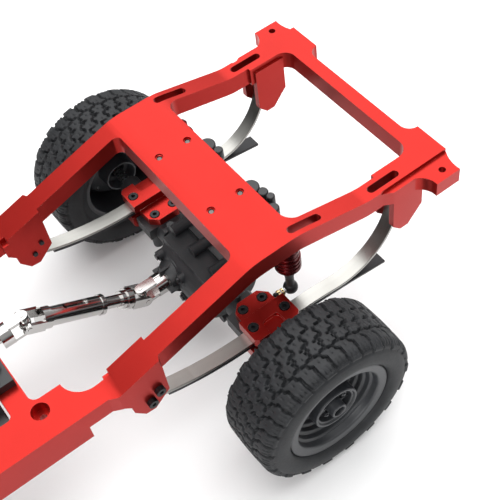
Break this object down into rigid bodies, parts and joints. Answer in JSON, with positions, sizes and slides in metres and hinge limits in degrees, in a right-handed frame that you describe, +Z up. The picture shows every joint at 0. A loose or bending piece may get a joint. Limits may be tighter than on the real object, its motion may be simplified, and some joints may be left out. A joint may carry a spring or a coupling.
{
  "type": "robot chassis",
  "caption": "Leaf-sprung four wheel robot chassis: kicked-up metal frame, solid axles, central gearbox with drive shafts, shock absorbers and front steering.",
  "frame": {"origin": "on the ground, under the middle of the whole chassis", "axes": "+X to the front, +Y to the left, +Z up"},
  "size_m": [0.3628, 0.1692, 0.0864],
  "materials": {
    "red_anodised": "satin red anodised",
    "maroon_anodised": "dark red anodised",
    "spring_steel": "bright spring steel",
    "black_steel": "black oxide",
    "black_plastic": "fine grained black moulding",
    "chrome": "bright plated",
    "steel": "turned steel",
    "tyre_rubber": "soft black rubber",
    "wheel_black": "satin black",
    "motor_can": "plated steel can",
    "gear_plastic": "black gear plastic"
  },
  "bodies": {
    "chassis": {"chassis_frame": "red_anodised", "frame_screws": "black_steel", "rear_main_leaves": "spring_steel", "rear_helper_leaves": "black_steel", "front_main_leaves": "spring_steel", "front_helper_leaves": "black_steel", "rear_shock_bodies": "maroon_anodised", "front_shock_bodies": "maroon_anodised", "gearbox_case": "black_plastic", "gearbox_cover": "black_plastic", "gearbox_bracket": "black_plastic", "drive_motor": "motor_can"},
    "motor_gear": {"motor_pinion": "steel"},
    "output": {"output_shaft": "chrome", "spur_gear": "gear_plastic"},
    "rear_carrier": {"rear_pinion_bearing": "steel"},
    "rear_axle": {"rear_axle_housing": "black_plastic", "rear_diff_cover": "black_plastic", "rear_axle_fasteners": "black_steel", "rear_spring_clamps": "red_anodised", "rear_spring_seats": "red_anodised", "rear_wheel_bearings": "steel"},
    "rear_pinion": {"rear_pinion_yoke": "chrome"},
    "rear_joint": {"rear_shaft_joint": "chrome"},
    "rear_sleeve": {"rear_shaft_sleeve": "chrome"},
    "rear_spline": {"rear_shaft_spline": "chrome"},
    "rear_left_shock": {"rear_left_shock_rod": "black_plastic"},
    "rear_right_shock": {"rear_right_shock_rod": "black_plastic"},
    "front_carrier": {"front_pinion_bearing": "steel"},
    "front_axle": {"front_axle_housing": "black_plastic", "front_diff_cover": "black_plastic", "front_axle_fasteners": "black_steel", "front_spring_clamps": "red_anodised", "front_spring_seats": "red_anodised", "steering_servo": "black_plastic"},
    "front_pinion": {"front_pinion_yoke": "chrome"},
    "front_joint": {"front_shaft_joint": "chrome"},
    "front_sleeve": {"front_shaft_sleeve": "chrome"},
    "front_spline": {"front_shaft_spline": "chrome"},
    "front_left_shock": {"front_left_shock_rod": "black_plastic"},
    "front_right_shock": {"front_right_shock_rod": "black_plastic"},
    "rear_wheels": {"rear_axle_shaft": "steel", "rear_left_wheel": "wheel_black", "rear_left_tyre": "tyre_rubber", "rear_right_wheel": "wheel_black", "rear_right_tyre": "tyre_rubber"},
    "front_inner_shaft": {"front_axle_shaft": "steel"},
    "front_left_steer": {"front_left_knuckle": "black_plastic"},
    "front_left_roadwheel": {"front_left_wheel": "wheel_black", "front_left_tyre": "tyre_rubber", "front_left_stub_shaft": "steel"},
    "front_right_steer": {"front_right_knuckle": "black_plastic"},
    "front_right_roadwheel": {"front_right_wheel": "wheel_black", "front_right_tyre": "tyre_rubber", "front_right_stub_shaft": "steel"},
    "tie_rod": {"tie_rod": "steel"},
    "drag_link": {"drag_link": "black_plastic"},
    "servo_horn": {"servo_horn": "black_plastic"}
  },
  "joints": [
    {"name": "output_spin", "type": "hinge", "parent": "chassis", "child": "output", "pos_m": [0.00745, -0.006, 0.0597], "axis": [1, 0, 0], "continuous": true},
    {"name": "motor_spin", "type": "hinge", "parent": "chassis", "child": "motor_gear", "pos_m": [0.00245, 0.0131, 0.064], "axis": [1, 0, 0], "continuous": true},
    {"name": "rear_heave", "type": "slide", "parent": "chassis", "child": "rear_carrier", "axis": [0, 0, 1], "range_m": [-0.005, 0.004], "stiffness_N_per_m": 750, "springref_m": -0.0042, "deforming": ["rear_main_leaves", "rear_helper_leaves"]},
    {"name": "rear_roll", "type": "hinge", "parent": "rear_carrier", "child": "rear_axle", "pos_m": [-0.09855, -0.006, 0.0334], "axis": [1, 0, 0], "range_deg": [-5, 5], "stiffness_Nm_per_rad": 1, "deforming": ["rear_main_leaves", "rear_helper_leaves"]},
    {"name": "rear_pinion_spin", "type": "hinge", "parent": "rear_carrier", "child": "rear_pinion", "pos_m": [-0.08655, -0.006, 0.0334], "axis": [1, 0, 0], "continuous": true},
    {"name": "rear_shaft_swing", "type": "hinge", "parent": "chassis", "child": "rear_joint", "pos_m": [-0.02655, -0.006, 0.0597], "axis": [0, 1, 0], "range_deg": [-7, 5]},
    {"name": "rear_shaft_spin", "type": "hinge", "parent": "rear_joint", "child": "rear_sleeve", "pos_m": [-0.02655, -0.006, 0.0597], "axis": [0.8629, 0, 0.5054], "continuous": true},
    {"name": "rear_shaft_slide", "type": "slide", "parent": "rear_sleeve", "child": "rear_spline", "axis": [-0.8629, 0, -0.5054], "range_m": [-0.003, 0.004]},
    {"name": "rear_left_shock_pivot", "type": "hinge", "parent": "rear_axle", "child": "rear_left_shock", "pos_m": [-0.11605, 0.0325, 0.0396], "axis": [1, 0, 0], "range_deg": [-6, 6]},
    {"name": "rear_right_shock_pivot", "type": "hinge", "parent": "rear_axle", "child": "rear_right_shock", "pos_m": [-0.11605, -0.0325, 0.0396], "axis": [1, 0, 0], "range_deg": [-6, 6]},
    {"name": "front_heave", "type": "slide", "parent": "chassis", "child": "front_carrier", "axis": [0, 0, 1], "range_m": [-0.005, 0.004], "stiffness_N_per_m": 750, "springref_m": -0.0042, "deforming": ["front_main_leaves", "front_helper_leaves"]},
    {"name": "front_roll", "type": "hinge", "parent": "front_carrier", "child": "front_axle", "pos_m": [0.11345, -0.006, 0.0334], "axis": [1, 0, 0], "range_deg": [-5, 5], "stiffness_Nm_per_rad": 1, "deforming": ["front_main_leaves", "front_helper_leaves"]},
    {"name": "front_pinion_spin", "type": "hinge", "parent": "front_carrier", "child": "front_pinion", "pos_m": [0.10145, -0.006, 0.0334], "axis": [1, 0, 0], "continuous": true},
    {"name": "front_shaft_swing", "type": "hinge", "parent": "chassis", "child": "front_joint", "pos_m": [0.04145, -0.006, 0.0597], "axis": [0, 1, 0], "range_deg": [-5, 7]},
    {"name": "front_shaft_spin", "type": "hinge", "parent": "front_joint", "child": "front_sleeve", "pos_m": [0.04145, -0.006, 0.0597], "axis": [0.8629, 0, -0.5054], "continuous": true},
    {"name": "front_shaft_slide", "type": "slide", "parent": "front_sleeve", "child": "front_spline", "axis": [0.8629, 0, -0.5054], "range_m": [-0.003, 0.004]},
    {"name": "front_left_shock_pivot", "type": "hinge", "parent": "front_axle", "child": "front_left_shock", "pos_m": [0.09595, 0.0325, 0.0396], "axis": [1, 0, 0], "range_deg": [-6, 6]},
    {"name": "front_right_shock_pivot", "type": "hinge", "parent": "front_axle", "child": "front_right_shock", "pos_m": [0.09595, -0.0325, 0.0396], "axis": [1, 0, 0], "range_deg": [-6, 6]},
    {"name": "rear_wheel_spin", "type": "hinge", "parent": "rear_axle", "child": "rear_wheels", "pos_m": [-0.09855, 0, 0.0334], "axis": [0, 1, 0], "continuous": true},
    {"name": "front_shaft_turn", "type": "hinge", "parent": "front_axle", "child": "front_inner_shaft", "pos_m": [0.11345, 0, 0.0334], "axis": [0, 1, 0], "continuous": true},
    {"name": "front_left_steer", "type": "hinge", "parent": "front_axle", "child": "front_left_steer", "pos_m": [0.11345, 0.054, 0.0334], "axis": [0, 0, 1], "range_deg": [-20, 20]},
    {"name": "front_left_wheel_spin", "type": "hinge", "parent": "front_left_steer", "child": "front_left_roadwheel", "pos_m": [0.11345, 0.0702, 0.0334], "axis": [0, 1, 0], "continuous": true},
    {"name": "front_right_steer", "type": "hinge", "parent": "front_axle", "child": "front_right_steer", "pos_m": [0.11345, -0.054, 0.0334], "axis": [0, 0, 1], "range_deg": [-20, 20]},
    {"name": "front_right_wheel_spin", "type": "hinge", "parent": "front_right_steer", "child": "front_right_roadwheel", "pos_m": [0.11345, -0.0702, 0.0334], "axis": [0, 1, 0], "continuous": true},
    {"name": "tie_rod_pivot", "type": "hinge", "parent": "front_left_steer", "child": "tie_rod", "pos_m": [0.13345, 0.054, 0.026], "axis": [0, 0, 1], "range_deg": [-22, 22]},
    {"name": "drag_link_pivot", "type": "hinge", "parent": "front_left_steer", "child": "drag_link", "pos_m": [0.12645, 0.054, 0.0435], "axis": [0, 0, 1], "range_deg": [-22, 22]},
    {"name": "servo_horn_turn", "type": "hinge", "parent": "front_axle", "child": "servo_horn", "pos_m": [0.11345, 0.022, 0.046], "axis": [0, 0, 1], "range_deg": [-22, 22]}
  ],
  "couplings": [
    {"joint": "output_spin", "follows": "rear_wheel_spin", "ratio": -2.6},
    {"joint": "motor_spin", "follows": "rear_wheel_spin", "ratio": 8.6667},
    {"joint": "rear_pinion_spin", "follows": "rear_wheel_spin", "ratio": -2.6},
    {"joint": "rear_shaft_swing", "follows": "rear_heave", "rad_per_m": 16.319},
    {"joint": "rear_shaft_spin", "follows": "rear_wheel_spin", "ratio": -2.6},
    {"joint": "rear_shaft_slide", "follows": "rear_heave", "ratio": -0.515},
    {"joint": "rear_left_shock_pivot", "follows": "rear_roll", "ratio": -1},
    {"joint": "rear_right_shock_pivot", "follows": "rear_roll", "ratio": -1},
    {"joint": "front_pinion_spin", "follows": "rear_wheel_spin", "ratio": -2.6},
    {"joint": "front_shaft_swing", "follows": "front_heave", "rad_per_m": -16.319},
    {"joint": "front_shaft_spin", "follows": "rear_wheel_spin", "ratio": -2.6},
    {"joint": "front_shaft_slide", "follows": "front_heave", "ratio": -0.515},
    {"joint": "front_left_shock_pivot", "follows": "front_roll", "ratio": -1},
    {"joint": "front_right_shock_pivot", "follows": "front_roll", "ratio": -1},
    {"joint": "front_shaft_turn", "follows": "rear_wheel_spin", "ratio": 1},
    {"joint": "front_left_wheel_spin", "follows": "rear_wheel_spin", "ratio": 1},
    {"joint": "front_right_wheel_spin", "follows": "rear_wheel_spin", "ratio": 1},
    {"joint": "front_right_steer", "follows": "front_left_steer", "ratio": 1},
    {"joint": "tie_rod_pivot", "follows": "front_left_steer", "ratio": -1},
    {"joint": "drag_link_pivot", "follows": "front_left_steer", "ratio": -1},
    {"joint": "servo_horn_turn", "follows": "front_left_steer", "ratio": 1}
  ]
}
